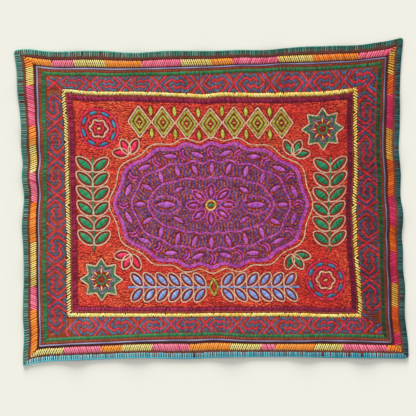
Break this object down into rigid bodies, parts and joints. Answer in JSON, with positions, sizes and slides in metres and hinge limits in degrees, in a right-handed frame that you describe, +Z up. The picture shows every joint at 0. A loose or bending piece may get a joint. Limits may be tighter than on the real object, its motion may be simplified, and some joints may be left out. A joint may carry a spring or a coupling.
{
  "type": "embroidered ceremonial cloth",
  "caption": "Flat rectangular cotton cloth with yarn edging, embroidered border bands and a framed embroidered field, lying face up.",
  "frame": {"origin": "middle of the cloth's outline, on the surface it lies on", "axes": "+X along the length, to the right as seen in the picture; +Y along the width, to its top; +Z up, out of the embroidered face"},
  "size_m": [0.6126, 0.5091, 0.0079],
  "materials": {
    "ground_cotton": "matte plain-woven cotton under embroidery",
    "edging_yarn": "matte blanket-stitched cotton yarn",
    "lavender_yarn": "matte couched cotton yarn",
    "yellow_yarn": "matte braided cotton yarn"
  },
  "bodies": {
    "root": {"ground_cloth": "ground_cotton", "edging_top": "edging_yarn", "edging_right": "edging_yarn", "edging_bottom": "edging_yarn", "edging_left": "edging_yarn", "lavender_yarn": "lavender_yarn", "yellow_braid": "yellow_yarn"}
  },
  "joints": []
}
